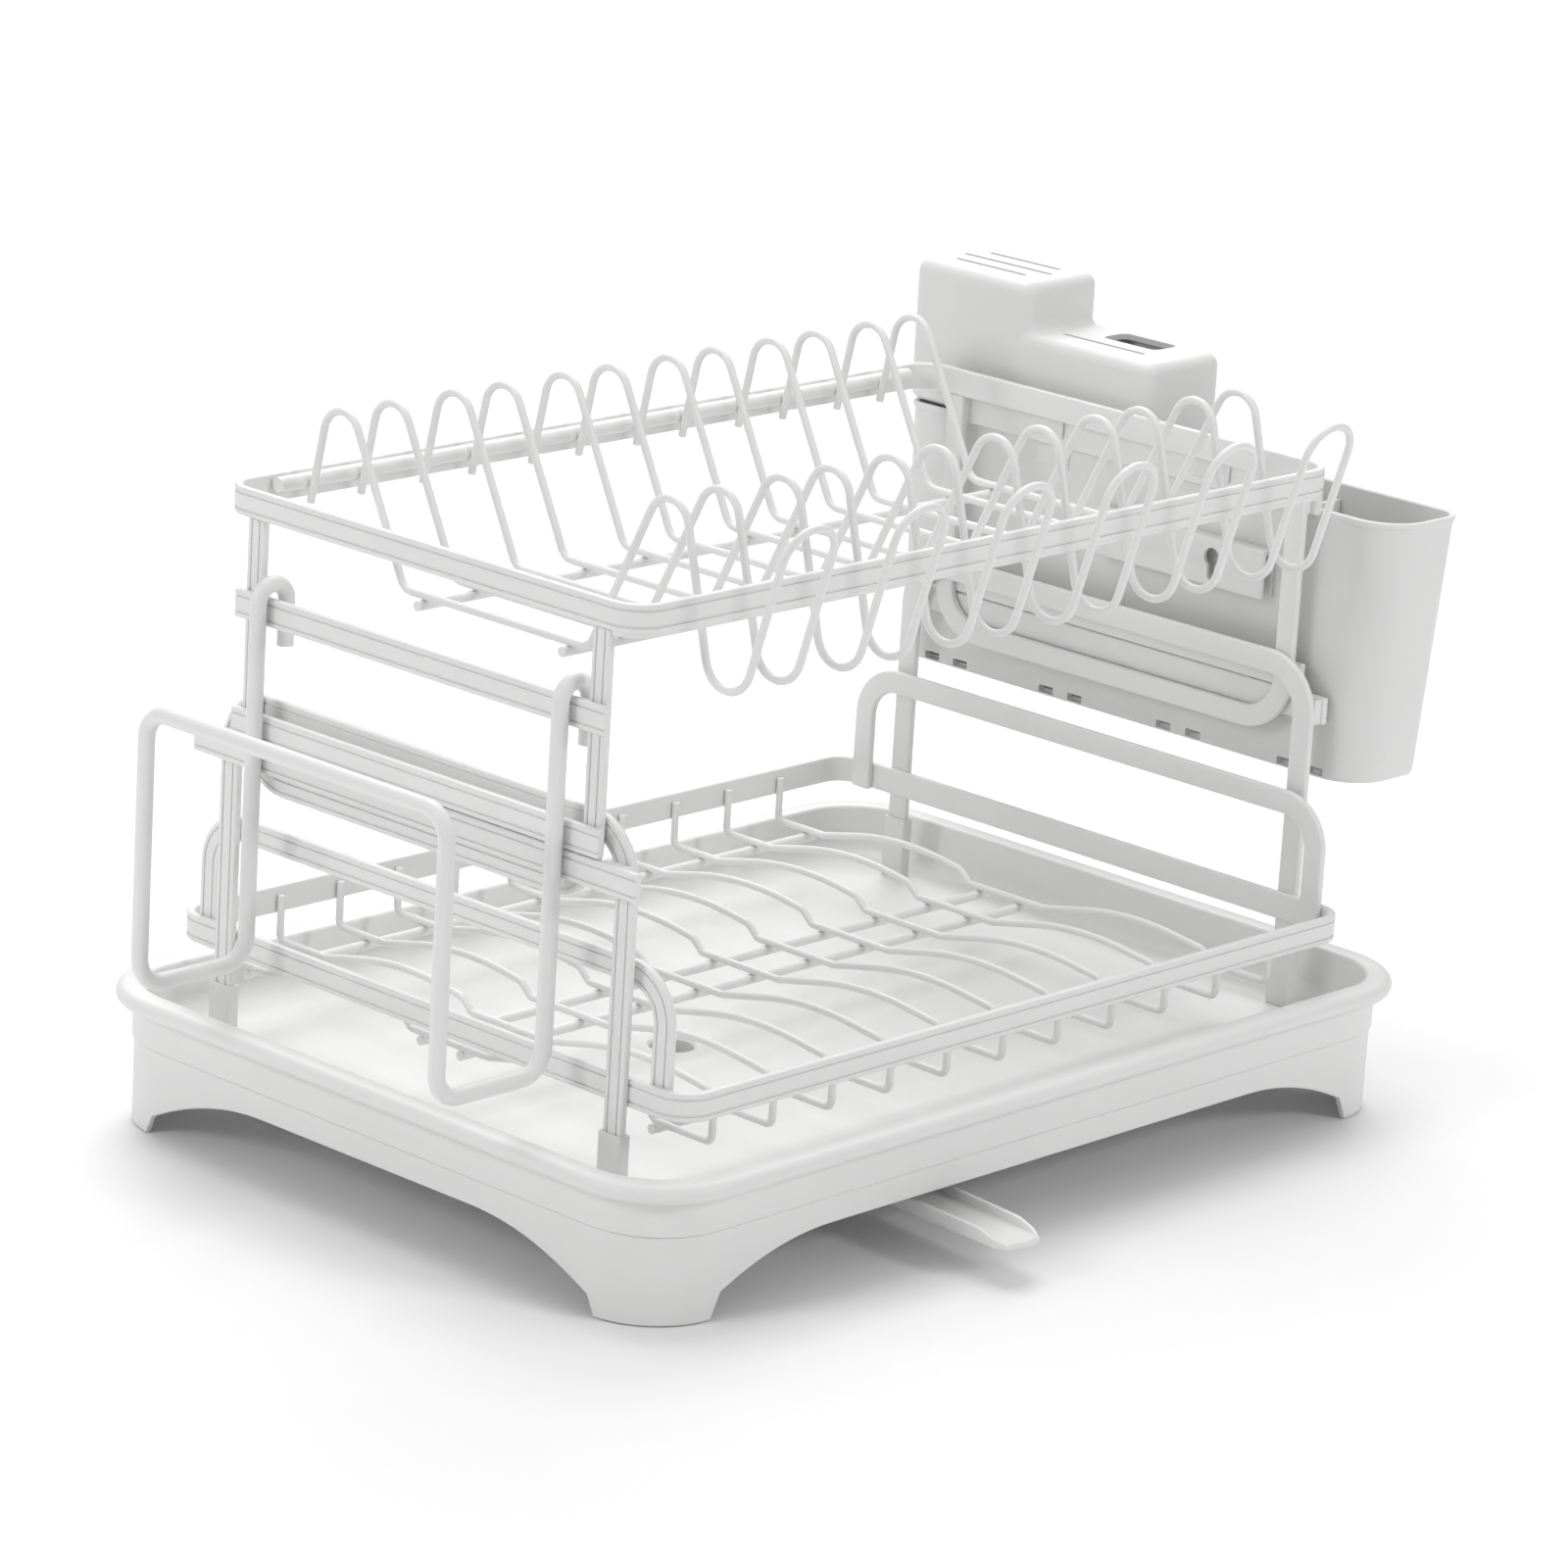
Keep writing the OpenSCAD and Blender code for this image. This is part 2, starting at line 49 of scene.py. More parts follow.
def coat_shader(name, colour, roughness, peel, peel_depth, mottling):
    material = bpy.data.materials.new(name)
    material.use_nodes = True
    nodes = material.node_tree.nodes
    links = material.node_tree.links
    shader = nodes["Principled BSDF"]
    place = nodes.new("ShaderNodeTexCoord")
    ripple = nodes.new("ShaderNodeTexNoise")
    ripple.inputs["Scale"].default_value = peel
    ripple.inputs["Detail"].default_value = 3.0
    bump = nodes.new("ShaderNodeBump")
    bump.inputs["Strength"].default_value = 0.35
    bump.inputs["Distance"].default_value = peel_depth
    cloud = nodes.new("ShaderNodeTexNoise")
    cloud.inputs["Scale"].default_value = 22.0
    cloud.inputs["Detail"].default_value = 4.0
    tone = nodes.new("ShaderNodeMapRange")
    tone.inputs["From Min"].default_value = 0.3
    tone.inputs["From Max"].default_value = 0.7
    tone.inputs["To Min"].default_value = 1.0 - mottling
    tone.inputs["To Max"].default_value = 1.0
    tint = nodes.new("ShaderNodeMix")
    tint.data_type = "RGBA"
    tint.blend_type = "MULTIPLY"
    tint.inputs["Factor"].default_value = 1.0
    tint.inputs[6].default_value = (*colour, 1.0)
    sheen = nodes.new("ShaderNodeMapRange")
    sheen.inputs["From Min"].default_value = 0.3
    sheen.inputs["From Max"].default_value = 0.7
    sheen.inputs["To Min"].default_value = roughness - 0.05
    sheen.inputs["To Max"].default_value = roughness + 0.05
    for texture in (ripple, cloud):
        links.new(place.outputs["Object"], texture.inputs["Vector"])
    links.new(ripple.outputs["Fac"], bump.inputs["Height"])
    links.new(bump.outputs["Normal"], shader.inputs["Normal"])
    links.new(cloud.outputs["Fac"], tone.inputs["Value"])
    links.new(tone.outputs["Result"], tint.inputs[7])
    links.new(tint.outputs[2], shader.inputs["Base Color"])
    links.new(ripple.outputs["Fac"], sheen.inputs["Value"])
    links.new(sheen.outputs["Result"], shader.inputs["Roughness"])
    shader.inputs["Specular IOR Level"].default_value = 0.45
    return material


powder_coat = coat_shader("powder_coat", (0.78, 0.78, 0.776), roughness=0.38, peel=900.0,
                          peel_depth=0.00006, mottling=0.02)


def finish_piece(obj, material, angle=35.0):
    """Smooths a piece, keeps its crisp edges and gives it its finish."""
    obj.data.materials.clear()
    obj.data.materials.append(material)
    obj.data.shade_smooth()
    obj.data.set_sharp_from_angle(angle=math.radians(angle))


def new_piece(name, verts, faces):
    mesh = bpy.data.meshes.new(name)
    mesh.from_pydata([tuple(v) for v in verts], [], faces)
    work = bmesh.new()
    work.from_mesh(mesh)
    bmesh.ops.recalc_face_normals(work, faces=work.faces)
    work.to_mesh(mesh)
    work.free()
    obj = bpy.data.objects.new(name, mesh)
    bpy.context.scene.collection.objects.link(obj)
    return obj


def baked(obj):
    """Turns an object with modifiers into a plain mesh."""
    graph = bpy.context.evaluated_depsgraph_get()
    mesh = bpy.data.meshes.new_from_object(obj.evaluated_get(graph), depsgraph=graph)
    obj.modifiers.clear()
    obj.data = mesh
    return obj


# Bent wire: round steel wire is cut to length and bent over round formers, then welded to the
# rims and rods. One node tree rounds each corner to its own former and repeats the wire.


def wire_tree():
    tree = bpy.data.node_groups.new("bent_wire", "GeometryNodeTree")
    face = tree.interface
    face.new_socket("Geometry", in_out="INPUT", socket_type="NodeSocketGeometry")
    face.new_socket("Wire radius", in_out="INPUT", socket_type="NodeSocketFloat")
    face.new_socket("Count", in_out="INPUT", socket_type="NodeSocketInt")
    face.new_socket("Pitch", in_out="INPUT", socket_type="NodeSocketVector")
    face.new_socket("Coat", in_out="INPUT", socket_type="NodeSocketMaterial")
    face.new_socket("Geometry", in_out="OUTPUT", socket_type="NodeSocketGeometry")
    made = tree.nodes.new
    link = tree.links.new
    given = made("NodeGroupInput")
    result = made("NodeGroupOutput")
    route = made("GeometryNodeMeshToCurve")
    bend = made("GeometryNodeInputNamedAttribute")
    bend.data_type = "FLOAT"
    bend.inputs["Name"].default_value = "former"
    corner = made("GeometryNodeFilletCurve")
    corner.mode = "POLY"
    corner.inputs["Count"].default_value = 14
    corner.inputs["Limit Radius"].default_value = True
    round_wire = made("GeometryNodeCurvePrimitiveCircle")
    round_wire.inputs["Resolution"].default_value = 14
    skin = made("GeometryNodeCurveToMesh")
    skin.inputs["Fill Caps"].default_value = True
    row = made("GeometryNodeMeshLine")
    row.mode = "OFFSET"
    copies = made("GeometryNodeInstanceOnPoints")
    solid = made("GeometryNodeRealizeInstances")
    paint = made("GeometryNodeSetMaterial")
    link(given.outputs["Geometry"], route.inputs["Mesh"])
    link(route.outputs["Curve"], corner.inputs["Curve"])
    link(bend.outputs["Attribute"], corner.inputs["Radius"])
    link(corner.outputs["Curve"], skin.inputs["Curve"])
    link(given.outputs["Wire radius"], round_wire.inputs["Radius"])
    link(round_wire.outputs["Curve"], skin.inputs["Profile Curve"])
    link(given.outputs["Count"], row.inputs["Count"])
    link(given.outputs["Pitch"], row.inputs["Offset"])
    link(row.outputs["Mesh"], copies.inputs["Points"])
    link(skin.outputs["Mesh"], copies.inputs["Instance"])
    link(copies.outputs["Instances"], solid.inputs["Geometry"])
    link(solid.outputs["Geometry"], paint.inputs["Geometry"])
    link(given.outputs["Coat"], paint.inputs["Material"])
    link(paint.outputs["Geometry"], result.inputs["Geometry"])
    return tree


bent_wire_tree = wire_tree()


def bent_wires(name, route, formers, radius, count=1, pitch=(0, 0, 0)):
    """Wires along the route (mm), each corner bent to its former's radius (mm)."""
    mesh = bpy.data.meshes.new(name)
    points = [Vector(p) / 1000 for p in route]
    mesh.from_pydata(points, [(i, i + 1) for i in range(len(points) - 1)], [])
    attribute = mesh.attributes.new("former", "FLOAT", "POINT")
    for slot, size in zip(attribute.data, formers):
        slot.value = size / 1000
    obj = bpy.data.objects.new(name, mesh)
    bpy.context.scene.collection.objects.link(obj)
    maker = obj.modifiers.new("wire", "NODES")
    maker.node_group = bent_wire_tree
    given = {
        "Wire radius": radius / 1000,
        "Count": count,
        "Pitch": tuple(v / 1000 for v in pitch),
        "Coat": powder_coat,
    }
    for item in bent_wire_tree.interface.items_tree:
        if item.in_out == "INPUT" and item.name in given:
            maker[item.identifier] = given[item.name]
    baked(obj)
    for left_over in [a for a in obj.data.attributes if a.name == "former"]:
        obj.data.attributes.remove(left_over)
    finish_piece(obj, powder_coat, 50)
    return obj


# Plate wires: six long wires, each bent in two runs that rise in a tall loop behind, an arch
# and a low hook in front, and are joined by an outer arch. They are welded to the rim.
plate_pitch = 58.5
plate_half = 13.0
plate_radius = 1.6
plate_start = -2.5 * plate_pitch
plate_run = [(104.1, 249), (92.2, 307.2), (50.3, 226.5), (-49.5, 226.5), (-89.6, 310),
             (-119.5, 194.8), (-147.3, 290.5)]
plate_formers = [0, 10, 7, 7, 10.2, 11.4, 12.6]
plate_route = [(plate_start - plate_half, y, z) for y, z in plate_run]
plate_route += [(plate_start + plate_half, y, z) for y, z in reversed(plate_run)]
plate_wires = bent_wires("plate_wires", plate_route, plate_formers + plate_formers[::-1],
                         plate_radius, count=6, pitch=(plate_pitch, 0, 0))
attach(plate_wires, "upper_tier")
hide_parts(*[f"plate_wire_{i}" for i in range(1, 7)])

# Lower wires: eleven thinner wires with upturned ends at the rim. Each has two bumps, steep in
# front and sloping gently down behind, that keep bowls from sliding.
floor_z = 60.8
bump_z = 70.6
stub_y = 135.48
stub_z = 79.5
lower_radius = 1.5
lower_start = -169.5
lower_pitch = 31.6
lower_run = [(stub_y, stub_z), (stub_y, floor_z), (108, floor_z), (66, bump_z), (30.5, 65.6),
             (25, floor_z), (-17, floor_z), (-62, bump_z), (-101.5, 65.6), (-107, floor_z),
             (-stub_y, floor_z), (-stub_y, stub_z)]
lower_formers = [0, 3, 8, 140, 5, 2.5, 8, 140, 5, 2.5, 3, 0]
lower_wires = bent_wires("lower_wires", [(lower_start, y, z) for y, z in lower_run], lower_formers,
                         lower_radius, count=11, pitch=(lower_pitch, 0, 0))
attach(lower_wires, "lower_tier")
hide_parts(*[f"lower_wire_{i}" for i in range(1, 12)])

# Rods: straight lengths of thicker wire that run under the floor wires and behind the back of
# the rim, spot-welded at every crossing.
rod_radius = 2.0
rim_rod_radius = 3.0
rod_z = floor_z - lower_radius - rod_radius
tier_rod_z = 222.9
for number, rod_y in ((1, -105), (2, -2.5), (3, 19.5), (4, 119)):
    rod = bent_wires(f"long_rod_{number}", [(-170, rod_y, rod_z), (152, rod_y, rod_z)], [0, 0],
                     rod_radius)
    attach(rod, "lower_tier")
    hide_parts(f"lower_rod_{number}")
for side, rod_y in (("front", -39), ("back", 39)):
    rod = bent_wires(f"tier_rod_{side}", [(-163, rod_y, tier_rod_z), (163, rod_y, tier_rod_z)],
                     [0, 0], rod_radius)
    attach(rod, "upper_tier")
    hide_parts(f"upper_floor_rod_{side}")
back_low, back_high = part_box("back_rod")
back_mid = [(a + b) * 500 for a, b in zip(back_low, back_high)]
thick_rod = bent_wires("rim_rod", [(back_low[0] * 1000, back_mid[1], back_mid[2]),
                                   (back_high[0] * 1000, back_mid[1], back_mid[2])],
                       [0, 0], rim_rod_radius)
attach(thick_rod, "upper_tier")
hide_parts("back_rod")

# Board hanger: one length of heavy wire. Two hooks drop over the left bar, and the bent frame
# stands out to hold boards and lids on edge.
hanger_radius = 3.3
hanger_half = 81.5
hanger_side = [(-190.3, 202.4), (-190.3, 227.3), (-204.6, 227.3), (-204.6, 79.5), (-258.0, 79.5),
               (-258.0, 187.8)]
hanger_route = [(x, hanger_half, z) for x, z in hanger_side]
hanger_route += [(x, -hanger_half, z) for x, z in reversed(hanger_side)]
hanger_formers = [0, 7.1, 7.1, 11, 11, 11]
hanger = bent_wires("wire_hanger", hanger_route, hanger_formers + hanger_formers[::-1],
                    hanger_radius)
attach(hanger, "hanger")
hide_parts("board_hanger")

# Flat bar: rims, legs, loops and crossbars are one rolled steel bar with eased edges and two
# fine lines along its outer face. It is bent edgeways or flatways and welded.
bar_thick = 3.2
rim_bar = 11.0
end_ease = 0.35


def bar_outline(width):
    """Outline of the rolled bar: (across, outwards) in mm, with its two fine lines."""
    ease = 0.8
    line_in = 2.4
    line_deep = 0.6
    half = width / 2
    outline = []
    for across, out, start in ((half - ease, bar_thick - ease, 0), (-half + ease, bar_thick - ease, 90),
                               (-half + ease, ease, 180), (half - ease, ease, 270)):
        for step in range(4):
            turn = math.radians(start + step * 30)
            outline.append((across + ease * math.cos(turn), out + ease * math.sin(turn)))
        if start == 0:
            for line in (half - line_in, -half + line_in):
                outline += [(line + 0.45, bar_thick), (line + 0.35, bar_thick - line_deep),
                            (line - 0.35, bar_thick - line_deep), (line - 0.45, bar_thick)]
    return outline


def rolled_bar(name, stations, width, closed=False):
    """Sweeps the bar through stations of (point, across, outwards), all in mm."""
    outline = bar_outline(width)
    if not closed:
        first, last = stations[0], stations[-1]
        ahead = (stations[1][0] - first[0]).normalized() * end_ease
        behind = (stations[-2][0] - last[0]).normalized() * end_ease
        stations = [first, (first[0] + ahead, *first[1:]), *stations[1:-1],
                    (last[0] + behind, *last[1:]), last]
    verts = []
    for index, (point, across, out) in enumerate(stations):
        cut_end = not closed and index in (0, len(stations) - 1)
        for a, b in outline:
            if cut_end:
                a -= math.copysign(min(end_ease, abs(a)), a)
                b += end_ease if b < bar_thick / 2 else -end_ease
            verts.append((point + across * a + out * b) / 1000)
    size = len(outline)
    spans = len(stations) if closed else len(stations) - 1
    faces = []
    for ring in range(spans):
        near = ring * size
        far = (ring + 1) % len(stations) * size
        for i in range(size):
            j = (i + 1) % size
            faces.append((near + i, near + j, far + j, far + i))
    if not closed:
        faces.append(tuple(range(size)))
        faces.append(tuple(range((len(stations) - 1) * size, len(stations) * size)))
    obj = new_piece(name, verts, faces)
    finish_piece(obj, powder_coat)
    return obj


def arc_steps(start, end, steps=10):
    return [math.radians(start + (end - start) * i / steps) for i in range(steps + 1)]


def upright_loop(name, side, face_x, half, top, low, width, corner, upside_down=False):
    """U of bar bent edgeways in the YZ plane: face_x is its inner face, corner its outer radius."""
    out = Vector((side, 0, 0))
    middle = corner - width / 2
    reach = half + width / 2 - corner
    stations = [(Vector((side * face_x, half, low)), Vector((0, 1, 0)), out)]
    for hand, turns in ((1, arc_steps(0, 90)), (-1, arc_steps(90, 180))):
        for turn in turns:
            across = Vector((0, math.cos(turn), math.sin(turn)))
            stations.append((Vector((side * face_x, hand * reach, top - corner)) + across * middle,
                             across, out))
    stations.append((Vector((side * face_x, -half, low)), Vector((0, -1, 0)), out))
    if upside_down:
        stations = [(Vector((p.x, p.y, top + low - p.z)), Vector((a.x, a.y, -a.z)), o)
                    for p, a, o in stations]
    return rolled_bar(name, stations, width)


def rim_ring(name, half_x, half_y, low, corner, shift=0.0):
    """Closed rim: the bar bent flatways around a rounded rectangle, outer face outwards."""
    stations = []
    for quarter in range(4):
        hand_x = 1 if quarter in (0, 3) else -1
        hand_y = 1 if quarter < 2 else -1
        centre = Vector((hand_x * (half_x - corner), hand_y * (half_y - corner) + shift,
                         low + rim_bar / 2))
        for turn in arc_steps(quarter * 90, quarter * 90 + 90, 9):
            out = Vector((math.cos(turn), math.sin(turn), 0))
            stations.append((centre + out * (corner - bar_thick), Vector((0, 0, 1)), out))
    return rolled_bar(name, stations, rim_bar, closed=True)


def straight_bar(name, side, node, trim=0.0):
    """Crossbar between two legs, placed by its node's box."""
    low, high = [Vector(c) * 1000 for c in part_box(node)]
    low.y += trim
    high.y -= trim
    inner = low.x if side > 0 else high.x
    middle = (low.z + high.z) / 2
    out = Vector((side, 0, 0))
    stations = [(Vector((inner, y, middle)), Vector((0, 0, 1)), out) for y in (low.y, high.y)]
    return rolled_bar(name, stations, rim_bar)


# Lower tier frame: two inverted U legs outside a rim, with a guard loop inside each end of it
# and a crossbar outside each pair of legs. The right crossbar is shorter than its node.
right_bar_trim = 7.5
for side, word in ((-1, "left"), (1, "right")):
    leg = upright_loop(f"leg_loop_{word}", side, face_x=190.2, half=107.4, top=180.8, low=38.0,
                       width=9.6, corner=24.0)
    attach(leg, "lower_tier")
    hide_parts(f"lower_frame_{word}")
    guard = upright_loop(f"guard_{word}", side, face_x=183.8, half=124.0, top=127.0, low=72.0,
                         width=9.6, corner=22.0)
    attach(guard, "lower_tier")
    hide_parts(f"guard_loop_{word}")
    bar = straight_bar(f"crossbar_{word}", side, f"lower_crossbar_{word}",
                       trim=right_bar_trim if side > 0 else 0.0)
    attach(bar, "lower_tier")
    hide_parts(f"lower_crossbar_{word}")
basket_rim = rim_ring("basket_rim", half_x=190.2, half_y=140.2, low=72.0, corner=13.0)
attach(basket_rim, "lower_tier")
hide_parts("lower_rim")

# Upper tier frame: two upright U frames that drop between the lower legs and their crossbars,
# with bars across them and a rim on top.
for side, word in ((-1, "left"), (1, "right")):
    frame_loop = upright_loop(f"tier_loop_{word}", side, face_x=193.9, half=92.7, top=249.5, low=145.0,
                              width=9.0, corner=24.0, upside_down=True)
    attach(frame_loop, "upper_tier")
    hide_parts(f"upper_frame_{word}")
    bar = straight_bar(f"landing_bar_{word}", side, f"stop_bar_{word}")
    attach(bar, "upper_tier")
    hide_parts(f"stop_bar_{word}")
for name, side, node in (("left_hook_bar", -1, "hanger_bar"), ("right_hook_bar", 1, "holder_bar")):
    bar = straight_bar(name, side, node)
    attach(bar, "upper_tier")
    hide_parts(node)
plate_rim = rim_ring("plate_rim", half_x=197.1, half_y=111.9, low=249.5, corner=13.0, shift=1.5)
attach(plate_rim, "upper_tier")
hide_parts("upper_rim")

# Front rail and small pads: plain strip under the front of the rim, and the blocks that space
# the bars off the legs. They stay as the frame has them and take the same coat.
for node in ("front_rail", "slide_spacers_left", "slide_spacers_right", "holder_bar_pads"):
    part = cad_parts[node]
    part.data.materials.clear()
    part.data.materials.append(powder_coat)

# Drip tray: injection-moulded plastic with a soft-edged lip, a step line around the skirt and
# an arch in each side. The floor dips around a drain, which has a boss under it.
tray_plastic = coat_shader("tray_plastic", (0.77, 0.77, 0.766), roughness=0.42, peel=1500.0,
                           peel_depth=0.00003, mottling=0.015)
skirt_x = 215.0
skirt_y = 152.6
skirt_corner = 32.0
drain = Vector((-45.0, 7.0, 0.0))


def tray_ring(offset, height):
    """Points around the skirt, offset outwards. height is a number or takes (x, y)."""
    ring = []
    for quarter in range(4):
        hand_x = 1 if quarter in (0, 3) else -1
        hand_y = 1 if quarter < 2 else -1
        centre = Vector((hand_x * (skirt_x - skirt_corner), hand_y * (skirt_y - skirt_corner)))
        for turn in arc_steps(quarter * 90, quarter * 90 + 90, 14):
            ring.append(centre + Vector((math.cos(turn), math.sin(turn))) * (skirt_corner + offset))
        along_x = quarter % 2 == 0
        span = 2 * ((skirt_x if along_x else skirt_y) - skirt_corner)
        step = Vector((-hand_y, 0)) if along_x else Vector((0, hand_x))
        pieces = round(span / 4.5)
        last = ring[-1]
        for i in range(1, pieces):
            ring.append(last + step * (span * i / pieces))
    return [Vector((p.x, p.y, height(p.x, p.y) if callable(height) else height)) for p in ring]


def arch_edge(extra):
    """Height of the skirt's lower edge: a long arch in each side, rounded down to the feet."""
    run, radius, top, soft = 95.0, 120.0, 23.7, 9.0

    def arch(distance):
        if distance >= run:
            return top
        return top - radius + math.sqrt(radius ** 2 - (run - max(distance, 0)) ** 2)

    def edge(x, y):
        on_long_side = abs(x) < skirt_x - skirt_corner
        on_short_side = abs(y) < skirt_y - skirt_corner
        if on_long_side == on_short_side:
            distance = skirt_corner if on_long_side else 0.0
        else:
            distance = skirt_x - abs(x) if on_long_side else skirt_y - abs(y)
        rise = arch(distance) if (on_long_side or on_short_side) else arch(0)
        lift = 0.5 * (rise + math.sqrt(rise * rise + soft * soft))
        rest = 0.5 * (arch(0) + math.sqrt(arch(0) ** 2 + soft * soft))
        return max(0.0, lift - rest) + extra

    return edge


def drain_ring(ring, radius, height):
    """Circle about the drain, each point facing its partner on the outer ring."""
    placed = []
    for p in ring:
        away = Vector((p.x - drain.x, p.y - drain.y)).normalized() * radius
        placed.append(Vector((drain.x + away.x, drain.y + away.y, height)))
    return placed


def mixed(ring_a, ring_b, share, height):
    return [Vector((*(a.lerp(b, share)).xy, height)) for a, b in zip(ring_a, ring_b)]


lip_bead = [(4.0 + 3.7 * math.cos(t), 52.3 + 3.7 * math.sin(t)) for t in arc_steps(-90, 90, 10)]
lip_inside = [(-1.6 - 1.7 * math.sin(t), 54.25 + 1.7 * math.cos(t)) for t in arc_steps(0, 90, 5)]
cove = [(-13.0 + 8.0 * math.cos(t), 43.0 + 8.0 * math.sin(t)) for t in arc_steps(0, -90, 8)]
tray_rings = [tray_ring(-2.5, arch_edge(0.5)), tray_ring(-2.0, arch_edge(0.0)),
              tray_ring(-0.5, arch_edge(0.0)), tray_ring(0.0, arch_edge(0.5))]
skirt_step = [(0, 33.9), (-0.25, 34.2), (-0.25, 34.5), (0.6, 34.6), (0.9, 34.9), (0.9, 48.3), (1.1, 48.6)]
tray_rings += [tray_ring(o, z) for o, z in skirt_step]
tray_rings += [tray_ring(o, z) for o, z in lip_bead + [(1.5, 56.05)] + lip_inside + cove]
floor_ring = tray_rings[-1]
drain_lip = drain_ring(floor_ring, 17.0, 34.9)
tray_rings += [mixed(floor_ring, drain_lip, share, 35.0) for share in (0.08, 0.4, 0.75, 0.95)]
tray_rings += [drain_lip, drain_ring(floor_ring, 13.5, 34.2), drain_ring(floor_ring, 10.0, 33.9),
               drain_ring(floor_ring, 9.0, 33.0), drain_ring(floor_ring, 9.0, 18.7),
               drain_ring(floor_ring, 9.4, 18.4), drain_ring(floor_ring, 14.0, 18.4),
               drain_ring(floor_ring, 14.6, 19.0), drain_ring(floor_ring, 14.6, 20.4),
               drain_ring(floor_ring, 13.0, 20.4), drain_ring(floor_ring, 13.0, 32.5)]
tray_rings += [mixed(tray_ring(-3.5, 32.5), drain_ring(floor_ring, 13.0, 32.5), 0.5, 32.5),
               tray_ring(-3.5, 32.5), tray_ring(-2.5, 32.0)]


def lofted(name, rings, closed=True, caps=False):
    """Joins rings of equal length into a skin. A closed loft joins its last ring to its first."""
    size = len(rings[0])
    verts = [p / 1000 for ring in rings for p in ring]
    faces = []
    for k in range(len(rings) if closed else len(rings) - 1):
        near = k * size
        far = (k + 1) % len(rings) * size
        for i in range(size):
            j = (i + 1) % size
            faces.append((near + i, near + j, far + j, far + i))
    if caps:
        faces.append(tuple(range(size)))
        faces.append(tuple(range((len(rings) - 1) * size, len(rings) * size)))
    return new_piece(name, verts, faces)


tray = lofted("moulded_tray", tray_rings)
finish_piece(tray, tray_plastic, 32)
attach(tray, "tray")
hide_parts("drip_tray")

# Drain spout: a shallow moulded channel whose hub snaps over the drain boss. Its floor is
# dished, and its side walls run down to the clipped tip.


def spout_section(along, half, floor, wall_top):
    """Closed section across the channel at a distance along it."""
    sheet = 1.8
    dish = [(x * (half - sheet - 1.2), floor + sheet + 0.5 * x * x)
            for x in (1, 0.66, 0.33, 0, -0.33, -0.66, -1)]
    top = max(wall_top, floor + sheet + 0.5)
    shoulder = min(floor + sheet + 0.8, top - 0.1)
    section = [(-half + 1.4, floor), (half - 1.4, floor), (half - 0.4, floor + 0.4), (half, floor + 1.4),
               (half, top - 0.4), (half - 0.4, top), (half - sheet + 0.4, top), (half - sheet, top - 0.3),
               (half - sheet - 0.3, shoulder)]
    section += dish
    section += [(-half + sheet + 0.3, shoulder), (-half + sheet, top - 0.3), (-half + sheet - 0.4, top),
                (-half + 0.4, top), (-half, top - 0.4), (-half, floor + 1.4), (-half + 0.4, floor + 0.4)]
    return [Vector((x, -along, z)) for x, z in section]


def turned(points):
    """Swings the spout to its place about the drain."""
    turn = Matrix.Rotation(math.radians(-5.0), 3, "Z")
    return [turn @ p + drain for p in points]


spout_stations = [(16.2, 15.1, 14, 20.1), (60, 14.1, 14, 20.1), (120, 12.8, 14, 20.1),
                  (170, 11.65, 14, 20.1), (188, 11.25, 14, 20.1), (192, 11.15, 14, 19.8),
                  (198, 11.0, 14, 18.2), (200, 10.6, 14, 17.6), (202.6, 9.4, 14, 16.9),
                  (204.6, 8.5, 14.1, 16.4), (204.9, 8.2, 14.5, 16.3)]
spout = lofted("channel_spout", [turned(spout_section(*s)) for s in spout_stations], closed=False, caps=True)
finish_piece(spout, tray_plastic, 40)
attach(spout, "spout")


def circle_ring(radius, height, steps=64):
    return [Vector((radius * math.cos(math.tau * i / steps), radius * math.sin(math.tau * i / steps), height))
            for i in range(steps)]


hub_rings = [(16.1, 14.0), (17.2, 14.4), (17.5, 15.2), (17.5, 31.4), (16.9, 32.0), (13.6, 32.0), (13.1, 31.5),
             (13.1, 21.0), (15.0, 20.6), (15.0, 16.1), (14.6, 15.8)]
hub = lofted("spout_hub", [turned(circle_ring(r, z)) for r, z in hub_rings], closed=False, caps=True)
finish_piece(hub, tray_plastic, 40)
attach(hub, "spout")
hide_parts("drain_spout")
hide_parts("drain_spout")

# Foot caps: small plastic boots pushed onto the ends of the legs, so that the steel doesn't
# scratch the tray.
holder_plastic = coat_shader("holder_plastic", (0.74, 0.74, 0.736), roughness=0.44, peel=1800.0,
                             peel_depth=0.00003, mottling=0.012)


def boot_ring(half_x, half_y, round_r, height):
    ring = []
    for quarter in range(4):
        hand_x = 1 if quarter in (0, 3) else -1
        hand_y = 1 if quarter < 2 else -1
        for turn in arc_steps(quarter * 90, quarter * 90 + 90, 4):
            ring.append(Vector((hand_x * (half_x - round_r) + round_r * math.cos(turn),
                                hand_y * (half_y - round_r) + round_r * math.sin(turn), height)))
    return ring


